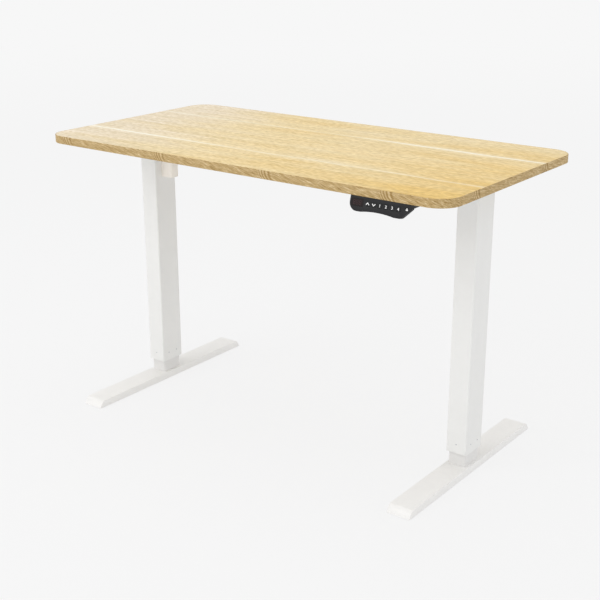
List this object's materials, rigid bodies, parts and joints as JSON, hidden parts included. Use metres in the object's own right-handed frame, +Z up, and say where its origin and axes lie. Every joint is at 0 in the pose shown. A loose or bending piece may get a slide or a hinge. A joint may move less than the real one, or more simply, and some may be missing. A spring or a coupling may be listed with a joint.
{
  "type": "height adjustable standing desk",
  "caption": "Rectangular wood desk top on two telescopic white steel columns with flat feet, raised by a motor, screws and a cross shaft from a key handset.",
  "frame": {"origin": "on the floor under the middle of the top, with the desk at its lowest", "axes": "+X along the top to the user's right, +Y to the back, away from the seated user, +Z up"},
  "size_m": [1.2, 0.6165, 0.752],
  "materials": {
    "wood_top": "satin oak laminate",
    "edge_wood": "satin oak edge band",
    "white_paint": "satin powder coat",
    "white_paint_inner": "satin powder coat",
    "white_plastic": "fine moulded texture",
    "steel": "zinc plated",
    "bearing_steel": "ground",
    "die_cast": "as cast",
    "bronze": "machined",
    "glide_plastic": "moulded",
    "rubber": "matte",
    "black_plastic": "fine moulded texture",
    "key_plastic": "matte",
    "lens": "smoked lens",
    "board_green": "circuit board",
    "motor_steel": "motor can"
  },
  "bodies": {
    "left_base": {"left_foot": "white_paint", "left_foot_pads": "rubber", "left_foot_screws": "steel", "left_inner_column": "white_paint_inner", "left_upper_glide": "glide_plastic", "left_nut_carrier": "die_cast", "left_lift_nut": "bronze"},
    "upper": {"tabletop": "wood_top", "edge_band": "edge_wood", "left_side_bracket": "white_paint", "right_side_bracket": "white_paint", "front_rail": "white_paint", "rear_rail": "white_paint", "left_outer_column": "white_paint", "right_outer_column": "white_paint", "left_lower_glide": "glide_plastic", "right_lower_glide": "glide_plastic", "left_gearbox": "die_cast", "right_gearbox": "die_cast", "gearbox_lids": "die_cast", "left_screw_bearing": "bearing_steel", "right_screw_bearing": "bearing_steel", "motor_cover": "white_plastic", "motor": "motor_steel", "motor_gearhead": "die_cast", "motor_bracket": "steel", "control_box_cover": "black_plastic", "control_box_lid": "black_plastic", "control_board": "board_green", "mains_gland": "rubber", "handset_shell": "black_plastic", "handset_fascia": "black_plastic", "display_window": "lens", "handset_board": "board_green", "glide_screws": "steel", "frame_bolts": "steel", "top_screws": "steel"},
    "right_base": {"right_foot": "white_paint", "right_foot_pads": "rubber", "right_foot_screws": "steel", "right_inner_column": "white_paint_inner", "right_upper_glide": "glide_plastic", "right_nut_carrier": "die_cast", "right_lift_nut": "bronze"},
    "left_screw": {"left_lead_screw": "bearing_steel", "left_screw_gear": "bronze"},
    "right_screw": {"right_lead_screw": "bearing_steel", "right_screw_gear": "bronze"},
    "cross_shaft": {"drive_shaft": "bearing_steel", "left_shaft_gear": "bronze", "right_shaft_gear": "bronze", "motor_gear": "bronze"},
    "motor_shaft": {"motor_pinion": "bronze"},
    "up_key": {"key_up": "key_plastic"},
    "down_key": {"key_down": "key_plastic"},
    "one_key": {"key_one": "key_plastic"},
    "two_key": {"key_two": "key_plastic"},
    "three_key": {"key_three": "key_plastic"},
    "four_key": {"key_four": "key_plastic"},
    "lock_key": {"key_lock": "key_plastic"}
  },
  "joints": [
    {"name": "lift", "type": "slide", "parent": "left_base", "child": "upper", "axis": [0, 0, 1], "range_m": [0, 0.45]},
    {"name": "right_lift", "type": "slide", "parent": "upper", "child": "right_base", "axis": [0, 0, -1], "range_m": [0, 0.45]},
    {"name": "left_screw_turn", "type": "hinge", "parent": "upper", "child": "left_screw", "pos_m": [-0.5, 0, 0.712], "axis": [0, 0, 1], "continuous": true},
    {"name": "right_screw_turn", "type": "hinge", "parent": "upper", "child": "right_screw", "pos_m": [0.5, 0, 0.712], "axis": [0, 0, 1], "continuous": true},
    {"name": "shaft_turn", "type": "hinge", "parent": "upper", "child": "cross_shaft", "pos_m": [0, 0, 0.712], "axis": [1, 0, 0], "continuous": true},
    {"name": "motor_turn", "type": "hinge", "parent": "upper", "child": "motor_shaft", "pos_m": [-0.4535, 0, 0.712], "axis": [0, 0, 1], "continuous": true},
    {"name": "press_up", "type": "slide", "parent": "upper", "child": "up_key", "axis": [0, 0.9659, -0.2588], "range_m": [0, 0.0008], "stiffness_N_per_m": 600, "springref_m": -0.0005},
    {"name": "press_down", "type": "slide", "parent": "upper", "child": "down_key", "axis": [0, 0.9659, -0.2588], "range_m": [0, 0.0008], "stiffness_N_per_m": 600, "springref_m": -0.0005},
    {"name": "press_one", "type": "slide", "parent": "upper", "child": "one_key", "axis": [0, 0.9659, -0.2588], "range_m": [0, 0.0008], "stiffness_N_per_m": 600, "springref_m": -0.0005},
    {"name": "press_two", "type": "slide", "parent": "upper", "child": "two_key", "axis": [0, 0.9659, -0.2588], "range_m": [0, 0.0008], "stiffness_N_per_m": 600, "springref_m": -0.0005},
    {"name": "press_three", "type": "slide", "parent": "upper", "child": "three_key", "axis": [0, 0.9659, -0.2588], "range_m": [0, 0.0008], "stiffness_N_per_m": 600, "springref_m": -0.0005},
    {"name": "press_four", "type": "slide", "parent": "upper", "child": "four_key", "axis": [0, 0.9659, -0.2588], "range_m": [0, 0.0008], "stiffness_N_per_m": 600, "springref_m": -0.0005},
    {"name": "press_lock", "type": "slide", "parent": "upper", "child": "lock_key", "axis": [0, 0.9659, -0.2588], "range_m": [0, 0.0008], "stiffness_N_per_m": 600, "springref_m": -0.0005}
  ],
  "couplings": [
    {"joint": "right_lift", "follows": "lift", "ratio": 1},
    {"joint": "left_screw_turn", "follows": "lift", "rad_per_m": 785.4},
    {"joint": "right_screw_turn", "follows": "lift", "rad_per_m": 785.4},
    {"joint": "shaft_turn", "follows": "lift", "rad_per_m": 785.4},
    {"joint": "motor_turn", "follows": "lift", "rad_per_m": 785.4}
  ]
}
